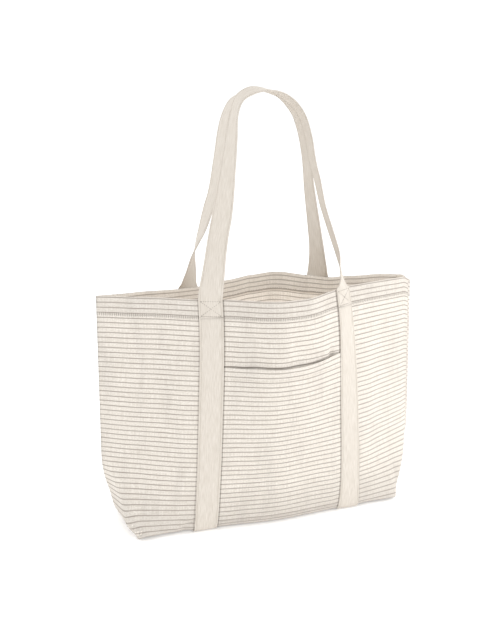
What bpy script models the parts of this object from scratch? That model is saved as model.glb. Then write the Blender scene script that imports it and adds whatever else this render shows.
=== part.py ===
"""Canvas tote bag with a boxed base, a front patch pocket and two webbing carrying handles.

Metres, +Z up, the front faces -Y. The floor is z = 0. The bag is built around the plane of its side
seams, and its frame then moves it so that the origin is the bottom centre of its box.
"""

import math

import bmesh
import bpy
from mathutils import Vector

# Driving dimensions, in metres.
HEIGHT = 0.380  # rim above the floor
BASE_HALF_WIDTH = 0.225
BASE_HALF_DEPTH = 0.072
STRAP_INNER = 0.107  # centre line to a strap's inner edge, measured along the cloth
STRAP_WIDTH = 0.038
RIM_STRAP_DEPTH = 0.058  # side seam plane to the rim where the straps hold it
RIM_BOW = 0.045  # how far the rim bows out between the straps
CREASE_HEIGHT = 0.130  # the box corners' creases run out into the side seams here
CREASE_POWER = 2.5  # how soon the ends of the bag spread above the base
HEM_DEPTH = 0.030
POCKET_TOP = 0.275
POCKET_HEM = 0.022
POCKET_GAPE = 0.017  # how far the pocket's mouth stands off the front
HANDLE_RISE = 0.316  # rim to the top of a handle
HANDLE_SHOULDER_RISE = 0.262  # rim to where a handle's legs turn into its arch
HANDLE_SHOULDER = 0.060  # centre line to a leg at that height
HANDLE_TURN_START = 0.010  # height at which a leg starts to turn edge on
CLOTH = 0.0016
WEBBING = 0.0018
THREAD = 0.0006
GAP = 0.0003
SEAM_WIDTH = 0.012  # stitched seam allowances
SEAM_INSET = 0.014  # side seam to the near edge of its allowance
BASE_SEAM_INSET = 0.020
BASE_SET_IN = 0.0012  # walls to the base cloth, which clears the creases at its corners
CORNER_SEAM_SET_IN = 0.0016  # end walls to the corner seams' allowances
STITCH_BOX = (0.030, 0.022)  # stitched square with a cross, width and height
STITCH_LINE = 0.0014
HANDLE_FOOT_GAP = 0.0006
TURN_POWER = 3.0

# Worked out from them.
FLOOR_Z = WEBBING + GAP  # the straps pass under the cloth
STRAP_OUTER = STRAP_INNER + STRAP_WIDTH
HALF_CLOTH = BASE_HALF_WIDTH + BASE_HALF_DEPTH  # centre line to a side seam, along the cloth
HEM_END = HALF_CLOTH - SEAM_INSET - SEAM_WIDTH - 0.002
SEAM_START = FLOOR_Z + CLOTH + 3 * GAP + SEAM_WIDTH  # side seams start above the corner seams
FRONT, BACK = 1, -1
BOW_STEPS = 6
ARCH_STEPS = 9
LEG_STEPS = 7


def bow_length(half_chord):
    """Length of half the bowed rim over a half chord, from the strap to the centre line."""
    steps = 24
    points = [Vector((half_chord * k / steps, bow_at(k / steps))) for k in range(steps + 1)]
    return sum((b - a).length for a, b in zip(points, points[1:]))


def bow_at(share):
    """How far the rim bows out at a share of the way from the centre line to the strap."""
    return RIM_BOW * (1 + math.cos(math.pi * share)) / 2


def find_half_chord():
    """The half chord whose bow is as long as the cloth that spans it."""
    low, high = 0.0, STRAP_INNER
    for _ in range(40):
        middle = (low + high) / 2
        if bow_length(middle) < STRAP_INNER:
            low = middle
        else:
            high = middle
    return low


RIM_HALF_CHORD = find_half_chord()
HANDLE_FOOT = RIM_HALF_CHORD + STRAP_WIDTH / 2


def wall(s, z):
    """The outer surface of the front cloth: s is the distance along the cloth from the centre line.

    It bows out between the straps, is flat under them, and beyond them runs to the side seam, straight
    at the top and over a crease lower down, where the box corner pushes it out.
    """
    along = abs(s)
    rise = (z - FLOOR_Z) / (HEIGHT - FLOOR_Z)
    chord = STRAP_INNER + rise * (RIM_HALF_CHORD - STRAP_INNER)
    depth = BASE_HALF_DEPTH + rise * (RIM_STRAP_DEPTH - BASE_HALF_DEPTH)
    if along <= STRAP_INNER:
        share = along / STRAP_INNER
        point = Vector((share * chord, -depth - rise * bow_at(share)))
    elif along <= STRAP_OUTER:
        point = Vector((chord + along - STRAP_INNER, -depth))
    else:
        point = end_wall(along, z, Vector((chord + STRAP_WIDTH, -depth)))
    return Vector((math.copysign(point.x, s), point.y, z))


def end_wall(along, z, strap_edge):
    """Plan of the cloth between a strap and the side seam, with both lengths kept on either side of the crease."""
    up = min((z - FLOOR_Z) / CREASE_HEIGHT, 1.0)
    full = HALF_CLOTH - STRAP_OUTER
    taut = strap_edge.x + math.sqrt(full**2 - strap_edge.y**2)
    spread = 1 - (1 - up) ** CREASE_POWER
    seam = Vector((BASE_HALF_WIDTH + spread * (taut - BASE_HALF_WIDTH), 0.0))
    before = BASE_HALF_WIDTH - STRAP_OUTER + up * BASE_HALF_DEPTH
    after = full - before
    across = seam - strap_edge
    foot = (before**2 - after**2 + across.length_squared) / (2 * across.length)
    off = math.sqrt(max(before**2 - foot**2, 0.0))
    ahead = across.normalized()
    crease = strap_edge + ahead * foot + Vector((ahead.y, -ahead.x)) * off
    if along - STRAP_OUTER <= before:
        return strap_edge.lerp(crease, (along - STRAP_OUTER) / before)
    return crease.lerp(seam, min((along - STRAP_OUTER - before) / after, 1.0))


def wall_out(s, z):
    """Unit vector out of the front cloth."""
    step = 0.0005
    across = wall(min(s + step, HALF_CLOTH), z) - wall(max(s - step, -HALF_CLOTH), z)
    upward = wall(s, z + step) - wall(s, z - step)
    return across.cross(upward).normalized()


def layer(columns, levels, offset, side):
    """A grid of points that stands off the cloth by offset(s, z), on the front or on the back."""
    rows = []
    for z in levels:
        row = []
        for s in columns:
            point = wall(s, z) + wall_out(s, z) * offset(s, z)
            point.z = z
            point.y = side * min(point.y, -GAP / 2)
            row.append(point)
        rows.append(row)
    return rows


def by(distance):
    """The same offset all over."""
    return lambda s, z: distance


def columns_between(low, high):
    """Stations along the cloth, shared by every layer so that their facets stay parallel."""
    half = [STRAP_INNER * k / BOW_STEPS for k in range(BOW_STEPS + 1)]
    half += [STRAP_OUTER, (STRAP_OUTER + BASE_HALF_WIDTH) / 2]
    half += [BASE_HALF_WIDTH + BASE_HALF_DEPTH * k / 4 for k in range(3)]
    half += [HEM_END, HALF_CLOTH - SEAM_INSET - SEAM_WIDTH, HALF_CLOTH - SEAM_INSET, HALF_CLOTH]
    stations = sorted({round(sign * s, 7) for s in half for sign in (1, -1)})
    inside = [s for s in stations if low + 0.001 < s < high - 0.001]
    return [low] + inside + [high]


def levels_between(low, high):
    """Heights shared by every layer, for the same reason."""
    pocket_hem = POCKET_TOP - POCKET_HEM
    levels = [FLOOR_Z, SEAM_START, CREASE_HEIGHT * 0.4, CREASE_HEIGHT * 0.7, CREASE_HEIGHT]
    levels += [(CREASE_HEIGHT + pocket_hem) / 2, pocket_hem, POCKET_TOP, HEIGHT - HEM_DEPTH, HEIGHT]
    inside = [z for z in levels if low + 0.001 < z < high - 0.001]
    return [low] + inside + [high]


def closed_loft(name, outer, inner, material, pivot=(0, 0, 0)):
    """One closed body between two grids of points, with its origin at the pivot."""
    rows, columns = len(outer), len(outer[0])
    mesh = bmesh.new()
    grids = [[[mesh.verts.new(p - Vector(pivot)) for p in row] for row in grid] for grid in (outer, inner)]
    for i in range(rows - 1):
        for j in range(columns - 1):
            for grid in grids:
                a, b, c, d = grid[i][j], grid[i][j + 1], grid[i + 1][j + 1], grid[i + 1][j]
                mesh.faces.new((a, b, c))
                mesh.faces.new((a, c, d))
    border = [(0, j) for j in range(columns)] + [(i, columns - 1) for i in range(1, rows)]
    border += [(rows - 1, j) for j in range(columns - 2, -1, -1)] + [(i, 0) for i in range(rows - 2, 0, -1)]
    for here, there in zip(border, border[1:] + border[:1]):
        a, b = (grids[0][i][j] for i, j in (here, there))
        c, d = (grids[1][i][j] for i, j in (there, here))
        mesh.faces.new((a, b, c, d))
    bmesh.ops.recalc_face_normals(mesh, faces=mesh.faces[:])
    return add_object(name, mesh, material, pivot)


def box(name, low, high, material):
    """A flat strip or floor from its lowest to its highest corner."""
    low, high = Vector(low), Vector(high)
    mesh = bmesh.new()
    bmesh.ops.create_cube(mesh, size=1)
    bmesh.ops.scale(mesh, vec=high - low, verts=mesh.verts)
    return add_object(name, mesh, material, (low + high) / 2)


def add_object(name, mesh, material, location):
    data = bpy.data.meshes.new(name)
    mesh.to_mesh(data)
    mesh.free()
    data.materials.append(material)
    return place(bpy.data.objects.new(name, data), location)


def place(piece, location):
    """Links a piece to the bag's collection, under its frame."""
    bpy.data.collections["canvas_tote_bag"].objects.link(piece)
    piece.location = location
    piece.parent = bpy.data.objects["bag_frame"]
    return piece


def make_material(name, colour, roughness):
    material = bpy.data.materials.new(name)
    material.use_nodes = True
    shader = material.node_tree.nodes["Principled BSDF"]
    shader.inputs["Base Color"].default_value = (*colour, 1)
    shader.inputs["Roughness"].default_value = roughness
    shader.inputs["Metallic"].default_value = 0.0
    return material


def make_panel(name, side, canvas):
    """The front or back cloth, from one side seam round the box corners to the other."""
    columns = columns_between(-HALF_CLOTH, HALF_CLOTH)
    levels = levels_between(FLOOR_Z, HEIGHT)
    outer = layer(columns, levels, by(0.0), side)
    inner = layer(columns, levels, by(-CLOTH), side)
    closed_loft(name, outer, inner, canvas)


def make_rim_hem(name, side, canvas):
    """The turned-in layer of the top hem, inside the bag."""
    columns = columns_between(-HEM_END, HEM_END)
    levels = levels_between(HEIGHT - HEM_DEPTH, HEIGHT)
    outer = layer(columns, levels, by(-CLOTH - GAP), side)
    inner = layer(columns, levels, by(-2 * CLOTH - GAP), side)
    closed_loft(name, outer, inner, canvas)


def make_base(canvas):
    """The floor cloth, which lies inside the lower edges of the walls."""
    x = BASE_HALF_WIDTH - CLOTH - BASE_SET_IN
    y = BASE_HALF_DEPTH - CLOTH - BASE_SET_IN
    box("base_panel", (-x, -y, FLOOR_Z), (x, y, FLOOR_Z + CLOTH), canvas)


def make_base_seams(canvas):
    """The seam allowances inside the base: one along it, and one across each end of the box."""
    low = FLOOR_Z + CLOTH + GAP
    x = BASE_HALF_WIDTH - BASE_SEAM_INSET
    half = SEAM_WIDTH / 2
    box("bottom_seam", (-x, -half, low), (x, half, low + CLOTH), canvas)
    end = BASE_HALF_WIDTH - CLOTH - CORNER_SEAM_SET_IN
    y = BASE_HALF_DEPTH - BASE_SEAM_INSET
    box("left_corner_seam", (-end, -y, low), (CLOTH - end, y, low + SEAM_WIDTH), canvas)
    box("right_corner_seam", (end - CLOTH, -y, low), (end, y, low + SEAM_WIDTH), canvas)


def make_side_seam(name, sign, canvas):
    """The allowance of a side seam, pressed against the inside of the back cloth."""
    near, far = HALF_CLOTH - SEAM_INSET - SEAM_WIDTH, HALF_CLOTH - SEAM_INSET
    columns = sorted((sign * near, sign * far))
    levels = levels_between(SEAM_START, HEIGHT)
    outer = layer(columns, levels, by(-CLOTH - GAP), BACK)
    inner = layer(columns, levels, by(-2 * CLOTH - GAP), BACK)
    closed_loft(name, outer, inner, canvas)


def pocket_gape(s, z):
    """How far the pocket stands off: nothing at its foot and sides, most at the middle of its mouth."""
    sideways = math.cos(math.pi * s / (2 * STRAP_INNER)) ** 2
    upward = (z - FLOOR_Z) / (POCKET_TOP - FLOOR_Z)
    return POCKET_GAPE * sideways * upward


def make_pocket(canvas):
    """The patch pocket between the straps, and the turned-in hem of its mouth."""
    edge = STRAP_INNER - GAP
    columns = columns_between(-edge, edge)
    levels = levels_between(FLOOR_Z, POCKET_TOP)
    inner = layer(columns, levels, lambda s, z: GAP + pocket_gape(s, z), FRONT)
    outer = layer(columns, levels, lambda s, z: GAP + CLOTH + pocket_gape(s, z), FRONT)
    closed_loft("front_pocket", outer, inner, canvas)
    edge = STRAP_INNER * (BOW_STEPS - 2) / BOW_STEPS
    columns = columns_between(-edge, edge)
    levels = levels_between(POCKET_TOP - POCKET_HEM, POCKET_TOP)
    outer = layer(columns, levels, pocket_gape, FRONT)
    inner = layer(columns, levels, lambda s, z: pocket_gape(s, z) - CLOTH, FRONT)
    closed_loft("pocket_hem", outer, inner, canvas)


def make_strap(name, sign, webbing):
    """The strap sewn up the front, under the base and up the back, in one length of webbing."""
    columns = sorted((sign * STRAP_INNER, sign * STRAP_OUTER))
    faces = []
    for out in (GAP + WEBBING, GAP):
        rows = layer(columns, (HEIGHT, FLOOR_Z), by(out), FRONT)
        for side in (FRONT, BACK):
            y = -side * (BASE_HALF_DEPTH + out)
            rows.append([Vector((s, y, FLOOR_Z - out)) for s in columns])
        rows += layer(columns, (FLOOR_Z, HEIGHT), by(out), BACK)
        faces.append(rows)
    closed_loft(name, faces[0], faces[1], webbing)


def handle_path():
    """Half of a handle's centre line, from a foot to the top, as distance out and height above the rim."""
    foot = Vector((HANDLE_FOOT, HANDLE_FOOT_GAP))
    shoulder = Vector((HANDLE_SHOULDER, HANDLE_SHOULDER_RISE))
    top = Vector((0.0, HANDLE_RISE - WEBBING / 2))
    leg = [foot.lerp(shoulder, k / LEG_STEPS) for k in range(LEG_STEPS)]
    reach = (top.y - shoulder.y) * 0.6
    ahead = shoulder + (shoulder - foot).normalized() * reach
    across = top + Vector((HANDLE_SHOULDER * 0.5, 0.0))
    arch = []
    for k in range(ARCH_STEPS + 1):
        t = k / ARCH_STEPS
        near = shoulder * (1 - t) ** 3 + ahead * 3 * t * (1 - t) ** 2
        arch.append(near + across * 3 * t**2 * (1 - t) + top * t**3)
    return leg + arch


def handle_pivot(side):
    """A handle folds over the rim on the outer face of its strap."""
    y = RIM_STRAP_DEPTH + GAP + WEBBING + GAP
    return Vector((0.0, -side * y, HEIGHT))


def make_handle(name, side, webbing):
    """A loop of webbing whose legs turn edge on as they rise, and meet the other loop at the top."""
    half = handle_path()
    foot_y = RIM_STRAP_DEPTH + GAP + WEBBING / 2
    top_y = STRAP_WIDTH / 2 + GAP
    stations = []
    for sign, points in ((-1, half), (1, half[-2::-1])):
        for out, rise in points:
            lean = rise / HANDLE_RISE
            y = -(foot_y + (top_y - foot_y) * lean)
            turned = max(rise - HANDLE_TURN_START, 0.0) / (HANDLE_RISE - HANDLE_TURN_START)
            turn = math.pi / 2 * (1 - (1 - min(turned, 1.0)) ** TURN_POWER)
            width = Vector((-sign * math.cos(turn), -math.sin(turn), 0.0))
            stations.append((Vector((sign * out, y, HEIGHT + rise)), width))
    outer, inner = [], []
    for k, (centre, width) in enumerate(stations):
        ahead = stations[min(k + 1, len(stations) - 1)][0] - stations[max(k - 1, 0)][0]
        ahead.normalize()
        if k in (0, len(stations) - 1):
            ahead = Vector((0.0, 0.0, 1.0 if k == 0 else -1.0))
        width = (width - ahead * width.dot(ahead)).normalized() * (STRAP_WIDTH / 2)
        out = ahead.cross(width).normalized() * (WEBBING / 2)
        flip = Vector((1, side, 1))
        outer.append([(centre + width * w + out) * flip for w in (-1, 0, 1)])
        inner.append([(centre + width * w - out) * flip for w in (-1, 0, 1)])
    closed_loft(name, outer, inner, webbing, handle_pivot(side))


def make_stitch_box(name, sign, side, thread):
    """The stitched square with a cross that holds a strap at the rim: an outline with four cut-outs."""
    curve = bpy.data.curves.new(name, "CURVE")
    curve.dimensions = "2D"
    curve.fill_mode = "BOTH"
    curve.extrude = THREAD / 2
    half_x, half_y = STITCH_BOX[0] / 2, STITCH_BOX[1] / 2
    add_outline(curve, [(-half_x, -half_y), (half_x, -half_y), (half_x, half_y), (-half_x, half_y)])
    edge, from_middle = STITCH_LINE, STITCH_LINE
    x, y = half_x - edge, half_y - edge
    slope = x / y
    for sign_y in (1, -1):
        tip = sign_y * from_middle
        across = (y - from_middle) * slope
        add_outline(curve, [(0.0, tip), (across, sign_y * y), (-across, sign_y * y)])
    for sign_x in (1, -1):
        tip = sign_x * from_middle * slope
        upward = (x - from_middle * slope) / slope
        add_outline(curve, [(tip, 0.0), (sign_x * x, upward), (sign_x * x, -upward)])
    curve.materials.append(thread)
    lean = math.atan2(BASE_HALF_DEPTH - RIM_STRAP_DEPTH, HEIGHT - FLOOR_Z)
    middle = sign * (STRAP_INNER + STRAP_OUTER) / 2
    out = GAP + WEBBING + GAP + THREAD / 2
    height = HEIGHT - HEM_DEPTH / 2 - THREAD
    piece = place(bpy.data.objects.new(name, curve), layer([middle], [height], by(out), side)[0][0])
    piece.rotation_euler = (math.pi / 2 - lean, 0.0, 0.0 if side == FRONT else math.pi)


def add_outline(curve, corners):
    spline = curve.splines.new("POLY")
    spline.points.add(len(corners) - 1)
    for point, (x, y) in zip(spline.points, corners):
        point.co = (x, y, 0.0, 1.0)
    spline.use_cyclic_u = True


def frame_shift():
    """Moves the side seam plane back, so that the box from pocket to back cloth is centred on y = 0."""
    front = -layer([0.0], [POCKET_TOP], lambda s, z: GAP + CLOTH + POCKET_GAPE, FRONT)[0][0].y
    back = RIM_STRAP_DEPTH + RIM_BOW
    return (max(front, back) - back) / 2


def clear_scene():
    for piece in list(bpy.data.objects):
        bpy.data.objects.remove(piece, do_unlink=True)


def main():
    clear_scene()
    collection = bpy.data.collections.new("canvas_tote_bag")
    bpy.context.scene.collection.children.link(collection)
    frame = bpy.data.objects.new("bag_frame", None)
    collection.objects.link(frame)
    frame.location = (0.0, frame_shift(), 0.0)
    canvas = make_material("striped_canvas", (0.83, 0.79, 0.72), 0.9)
    webbing = make_material("natural_webbing", (0.76, 0.70, 0.62), 0.85)
    thread = make_material("natural_thread", (0.86, 0.82, 0.75), 0.7)
    for label, side in (("front", FRONT), ("back", BACK)):
        make_panel(f"{label}_panel", side, canvas)
        make_rim_hem(f"{label}_rim_hem", side, canvas)
        make_handle(f"{label}_handle", side, webbing)
        for hand, sign in (("left", -1), ("right", 1)):
            make_stitch_box(f"{label}_{hand}_stitch_box", sign, side, thread)
    for hand, sign in (("left", -1), ("right", 1)):
        make_strap(f"{hand}_strap", sign, webbing)
        make_side_seam(f"{hand}_side_seam", sign, canvas)
    make_base(canvas)
    make_base_seams(canvas)
    make_pocket(canvas)


main()
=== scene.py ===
"""Canvas tote bag: the finish model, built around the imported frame."""

import math

import bpy
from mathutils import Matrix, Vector, noise


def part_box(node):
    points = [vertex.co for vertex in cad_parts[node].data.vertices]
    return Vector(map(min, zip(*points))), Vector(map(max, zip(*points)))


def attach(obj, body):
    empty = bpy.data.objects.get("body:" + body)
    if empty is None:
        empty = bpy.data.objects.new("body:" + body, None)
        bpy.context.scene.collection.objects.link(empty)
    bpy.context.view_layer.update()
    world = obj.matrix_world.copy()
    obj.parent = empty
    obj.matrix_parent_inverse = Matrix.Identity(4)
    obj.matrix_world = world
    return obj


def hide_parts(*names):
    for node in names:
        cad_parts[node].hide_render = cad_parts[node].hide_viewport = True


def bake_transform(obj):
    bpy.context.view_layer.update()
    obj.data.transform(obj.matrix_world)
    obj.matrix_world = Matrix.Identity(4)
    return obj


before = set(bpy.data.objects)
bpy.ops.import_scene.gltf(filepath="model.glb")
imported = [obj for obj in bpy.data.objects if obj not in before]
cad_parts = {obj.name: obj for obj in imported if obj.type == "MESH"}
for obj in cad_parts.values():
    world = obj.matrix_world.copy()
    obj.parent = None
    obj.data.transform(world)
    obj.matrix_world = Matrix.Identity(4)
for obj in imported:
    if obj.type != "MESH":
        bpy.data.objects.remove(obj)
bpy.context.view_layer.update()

bl_info = {
    "name": "Canvas tote bag",
    "version": (1, 0, 0),
    "blender": (4, 5, 0),
    "location": "View3D > Sidebar > Tote",
    "description": "Builds a striped canvas tote bag with webbing straps round its frame",
    "category": "Object",
}

# Sizes that come from the frame, in metres.
PANEL_LOW, PANEL_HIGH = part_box("front_panel")
SEAM_Y = (PANEL_LOW.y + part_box("back_panel")[1].y) / 2
RIM_Z = PANEL_HIGH.z
FLOOR_Z = PANEL_LOW.z

# The cloth, as it was cut and sewn.
BASE_HALF_WIDTH = 0.225
BASE_HALF_DEPTH = 0.072
HALF_CLOTH = 0.297  # from the centre line of a panel to the side seam
STRAP_INNER = 0.107
STRAP_WIDTH = 0.038
STRAP_OUTER = STRAP_INNER + STRAP_WIDTH
STRAP_GAP = 0.0002  # between a strap and the cloth that it is sewn to
RIM_STRAP_DEPTH = 0.058  # from the side seams' plane to the straps at the rim
RIM_HALF_CHORD = 0.095  # from the centre line to the straps at the rim
CREASE_HEIGHT = 0.130  # how far up the fold of the base corner runs
CREASE_POWER = 2.5
HANDLE_RISE = 0.316
RIM_FOLD = 0.0012  # height of the rounded fold at the rim
HEM_STANDS_OFF = 2.3  # cloth thicknesses from the outer face to the turned-in hem
POCKET_SLANT = 0.0050  # how much higher the pocket's mouth is at its right end
SLANT_FROM, SLANT_TO = 0.015, 0.100  # where along the mouth it climbs
SEAM_WRAP = 0.0050  # how far the side seam lies in front of the bag's edge
STITCH_INSET = 0.0030  # from the strap's edge to its row of stitches
BOX_TOP, BOX_HEIGHT = 0.0035, 0.0225  # the crossed box of stitches under the rim
BOX_LOW_Z = RIM_Z - BOX_TOP - BOX_HEIGHT
STRAP_TOP_Z = BOX_LOW_Z - 0.002  # where a strap ends and the handle over it begins
SOFTEN = 0.006  # half the width over which a fold in the cloth is rounded
SOFTEN_STEPS = (-1.0, -0.5, 0.0, 0.5, 1.0)
SEAM_TUCK = 2.2  # how much further than its walls the inside of the bag stays from a side seam
LEAST_GAP = 0.00015  # of either panel from the side seams' plane
PAINTED_GLOW_THROUGH = 0.36  # strength of the painted glow on the inside, standing in for the share of the studio light that a single layer lets through
FRONT, BACK = -1, 1
OUTER, INNER, POCKET = "outer face", "inner face", "pocket"
ALONG_X, ALONG_Y, ALONG_Z = Vector((1, 0, 0)), Vector((0, 1, 0)), Vector((0, 0, 1))


def linear(colour):
    """A colour written as sRGB hex, as linear red, green, blue and alpha."""
    parts = [int(colour[i : i + 2], 16) / 255 for i in (0, 2, 4)]
    low, high = 0.04045, 2.4  # the two parts of the sRGB curve
    return tuple(c / 12.92 if c <= low else ((c + 0.055) / 1.055) ** high for c in parts) + (1.0,)


def size(name, description, default):
    return bpy.props.FloatProperty(
        name=name, description=description, default=default, min=0.0, precision=4, unit="LENGTH"
    )


def tint(name, description, colour):
    return bpy.props.FloatVectorProperty(
        name=name, description=description, subtype="COLOR", size=4, min=0.0, max=1.0, default=linear(colour)
    )


class ToteSizes(bpy.types.PropertyGroup):
    """Sizes of the finish that a user would change."""

    cloth: size("Cloth thickness", "Thickness of one layer of the striped canvas", 0.0010)
    webbing: size("Strap thickness", "Thickness of the sewn canvas strap", 0.0017)
    hem: size("Hem depth", "Depth of the hem turned in at the rim", 0.030)
    pocket_top: size("Pocket height", "Height of the pocket mouth above the floor", 0.2745)
    pocket_hem: size("Pocket hem", "Depth of the hem at the pocket mouth", 0.020)
    pocket_gape: size("Pocket gape", "How far the pocket mouth stands off the bag", 0.0030)
    rim_bow: size("Rim bow", "How far the rim bows out between the straps", 0.045)
    bottom_round: size("Bottom rounding", "Radius of the soft fold round the base", 0.014)
    stripe_pitch: size("Stripe pitch", "Distance from one woven stripe to the next", 0.0078)
    stripe_width: size("Stripe width", "Width of one woven stripe", 0.0017)
    stitch: size("Stitch pitch", "Length of one stitch and its gap", 0.0034)
    thread: size("Thread thickness", "Thickness of the sewing thread", 0.0008)
    seam_width: size("Seam allowance", "Width of the overlocked seam allowances inside the bag", 0.012)


class ToteColours(bpy.types.PropertyGroup):
    """Colours of the finish."""

    canvas: tint("Canvas", "Undyed cotton canvas", "E8E2DA")
    canvas_shade: tint("Canvas shade", "Darker yarns in the canvas", "CBC3B8")
    stripe: tint("Stripe", "Grey-brown yarn of the woven stripes", "9A9189")
    strap: tint("Strap", "Undyed canvas of the straps", "DAD3CA")
    strap_shade: tint("Strap shade", "Darker yarns in the straps", "C9C1B6")
    thread: tint("Thread", "Cotton sewing thread", "CBC4B8")
    # Painted shade: the thread of the hem rows and crossed boxes is made darker for the shadow round their
    # stitches.
    painted_shade_thread: tint("Thread with painted shade", "Thread of the hem rows and the crossed boxes", "A39C93")
    seam: tint("Seam", "Overlocked seam allowance", "DDD4C6")
    floor: tint("Floor", "Studio floor", "FCFCFC")


# ---------------------------------------------------------------- shape of the cloth


def smooth(value):
    value = min(max(value, 0.0), 1.0)
    return value * value * (3 - 2 * value)


def hump(value, centre, spread):
    """A soft bump that is 1 at the centre and fades over the spread."""
    return math.exp(-(((value - centre) / spread) ** 2))


# Each strap turns with the rim above and with the full middle of the bag below, in degrees.
STRAP_TURN = {(FRONT, -1): 17, (FRONT, 1): 34, (BACK, -1): 18, (BACK, 1): 28}
STRAP_SWELL = {(FRONT, -1): 46, (FRONT, 1): 58, (BACK, -1): 20, (BACK, 1): 20}
BOW_LEAN = {FRONT: 0.03, BACK: 0.40}  # the deepest part of the bow, as a share of the way to the strap
BOW_DEPTH = 0.0065  # of the bow that even the base has between the straps
MOST_BOW_SLOPE = 2.6
BELLY = {FRONT: 0.012, BACK: 0.003}  # how far the half-full bag stands out between base and rim
# How far a strap is from its plain place, outwards: halfway up and at the rim.
BELLY_SHIFT = {(FRONT, -1): -0.0040, (FRONT, 1): 0.0040, (BACK, -1): 0.0, (BACK, 1): 0.0}
STRAP_SHIFT = {(FRONT, -1): -0.0065, (FRONT, 1): 0.0, (BACK, -1): 0.0, (BACK, 1): 0.0055}
SEAM_SHIFT = {-1: 0.0012, 1: -0.0026}  # of the side seams at the rim
# How far the rim stands above its plain level, by the place along the cloth: sewn cloth is never dead level.
RIM_LIFT = {
    FRONT: ((-0.297, 0.0050), (-0.220, 0.0030), (-0.145, 0.0000), (-0.060, -0.0010), (0.030, 0.0005),
            (0.107, 0.0042), (0.160, 0.0050), (0.240, 0.0056), (0.280, 0.0054), (0.297, -0.0005)),
    BACK: ((-0.297, 0.0050), (-0.230, 0.0020), (-0.145, -0.0030), (-0.100, -0.0034), (-0.040, 0.0008),
           (0.010, 0.0030), (0.070, 0.0070), (0.110, 0.0045), (0.145, 0.0022), (0.190, 0.0055),
           (0.250, 0.0088), (0.280, 0.0080), (0.297, -0.0005)),
}


def along_table(table, place):
    """A value read from (place, value) pairs, eased from one to the next."""
    if place <= table[0][0]:
        return table[0][1]
    for (start, low), (end, high) in zip(table, table[1:]):
        if place <= end:
            return low + (high - low) * smooth((place - start) / (end - start))
    return table[-1][1]


def strap_turn(side, sign, rise):
    return math.radians(STRAP_TURN[side, sign] * rise**3 + STRAP_SWELL[side, sign] * rise * (1 - rise))


def wall(side, s, z):
    """The outer face of the cloth, s along it from the centre line, before it sags."""
    sizes = bpy.context.scene.tote_sizes
    along = abs(s)
    rise = (z - FLOOR_Z) / (RIM_Z - FLOOR_Z)
    chord = STRAP_INNER + rise * (RIM_HALF_CHORD - STRAP_INNER)
    sign = 1 if s > 0 else -1
    full = 1 - abs(2 * rise - 1) ** 3
    chord += STRAP_SHIFT[side, sign] * rise**2 + BELLY_SHIFT[side, sign] * full
    plain_depth = BASE_HALF_DEPTH + rise * (RIM_STRAP_DEPTH - BASE_HALF_DEPTH)
    depth = plain_depth + BELLY[side] * full
    turn = strap_turn(side, sign, rise)
    run = Vector((math.cos(turn), math.sin(turn)))
    inner = Vector((chord + STRAP_WIDTH / 2, -depth)) - run * STRAP_WIDTH / 2
    if along <= STRAP_INNER:
        lean = BOW_LEAN[side] * STRAP_INNER
        part = (s - lean) / (STRAP_INNER - lean) if s > lean else (lean - s) / (STRAP_INNER + lean)
        half_turn = STRAP_WIDTH / 2 * math.sin(turn)
        bow = rise * sizes.rim_bow + BOW_DEPTH - half_turn + 1e-6
        slope = min(math.tan(turn) * chord / bow, MOST_BOW_SLOPE)
        curve = 1 + (slope - 3) * part**2 + (2 - slope) * part**3
        point = Vector((inner.x * along / STRAP_INNER, inner.y - bow * curve))
    elif along <= STRAP_OUTER:
        point = inner + run * (along - STRAP_INNER)
    else:
        plain = Vector((STRAP_INNER + rise * (RIM_HALF_CHORD - STRAP_INNER) + STRAP_WIDTH, -plain_depth))
        point = end_wall(along, z, inner + run * STRAP_WIDTH, plain, SEAM_SHIFT[sign] * rise**2)
    return Vector((math.copysign(point.x, s), point.y, z))


def end_wall(along, z, strap_edge, plain_edge, shift):
    """The cloth from the strap to the side seam, folded once near the base corner."""
    up = min((z - FLOOR_Z) / CREASE_HEIGHT, 1.0)
    full = HALF_CLOTH - STRAP_OUTER
    taut = plain_edge.x + math.sqrt(full**2 - plain_edge.y**2)
    spread = 1 - (1 - up) ** CREASE_POWER
    seam = Vector((BASE_HALF_WIDTH + spread * (taut - BASE_HALF_WIDTH), 0.0))
    before = BASE_HALF_WIDTH - STRAP_OUTER + up * BASE_HALF_DEPTH
    after = full - before
    length = (seam - plain_edge).length
    foot = (before**2 - after**2 + length**2) / (2 * length)
    off = math.sqrt(max(before**2 - foot**2, 0.0))
    seam.x += shift
    across = seam - strap_edge
    ahead = across.normalized()
    crease = strap_edge + across * (foot / length) + Vector((ahead.y, -ahead.x)) * off
    if along - STRAP_OUTER <= before:
        return strap_edge.lerp(crease, (along - STRAP_OUTER) / before)
    return crease.lerp(seam, min((along - STRAP_OUTER - before) / max(after, 1e-6), 1.0))


def softened(side, s, z):
    """The wall with its sharp folds rounded, as thick canvas rounds them."""
    reach = min(SOFTEN, (HALF_CLOTH - abs(s)) * 0.8)
    if abs(s) < STRAP_INNER:
        return wall(side, s, z)
    total = Vector()
    for step in SOFTEN_STEPS:
        total += wall(side, math.copysign(min(abs(s + step * reach), HALF_CLOTH), s), z)
    return total / len(SOFTEN_STEPS)


def soft_step(value, start, length):
    """Eases from 0 at the start to 1 a length further on."""
    return smooth((value - start) / length)


# Folds of the front above the pocket, as (place, spread, depth): + stands out, - sinks in.
SOFT_FOLDS = (
    (-0.078, 0.015, 0.0026),
    (-0.053, 0.016, -0.0030),
    (-0.008, 0.018, 0.0026),
    (0.020, 0.016, -0.0024),
    (0.066, 0.015, 0.0018),
)
SHARP_TUCK = ((0.090, 0.0065, -0.0075), (0.079, 0.006, 0.0020))


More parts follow.
